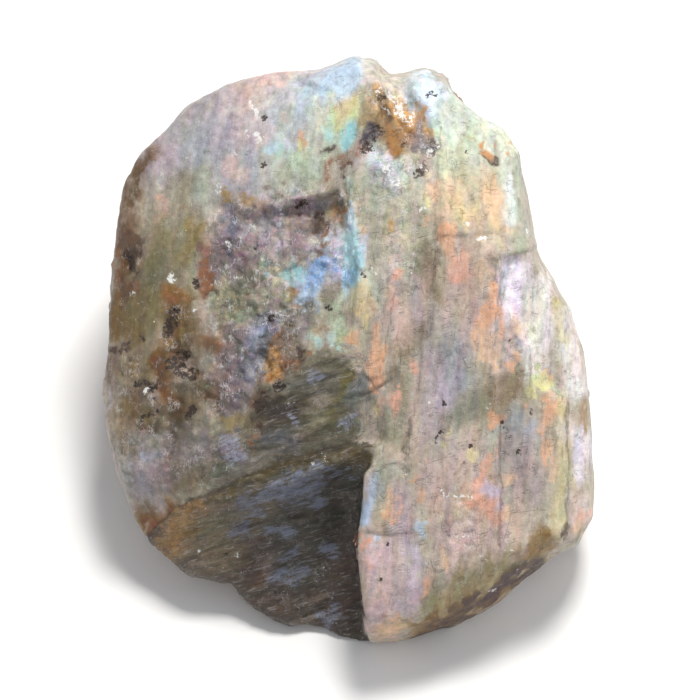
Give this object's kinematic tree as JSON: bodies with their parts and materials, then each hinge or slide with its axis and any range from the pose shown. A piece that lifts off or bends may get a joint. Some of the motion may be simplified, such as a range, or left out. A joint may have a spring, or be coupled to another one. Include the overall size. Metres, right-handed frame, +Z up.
{
  "type": "rough labradorite chunk",
  "caption": "Palm-sized rough chunk of labradorite feldspar with flat cleavage faces, a deep hollow under a thick slab, a notch in its top edge and a flat base to rest on.",
  "frame": {"origin": "centre of the bounding box's bottom face, on the plane that the chunk rests on", "axes": "+Z up, +X across the broad face from its left to its right, -Y the way the leaning broad face looks"},
  "size_m": [0.0494, 0.0556, 0.0344],
  "materials": {
    "labradorite": "waxy to vitreous cleavage faces with coloured schiller, rough and sparkling where broken"
  },
  "bodies": {
    "root": {"labradorite_chunk": "labradorite"}
  },
  "joints": []
}
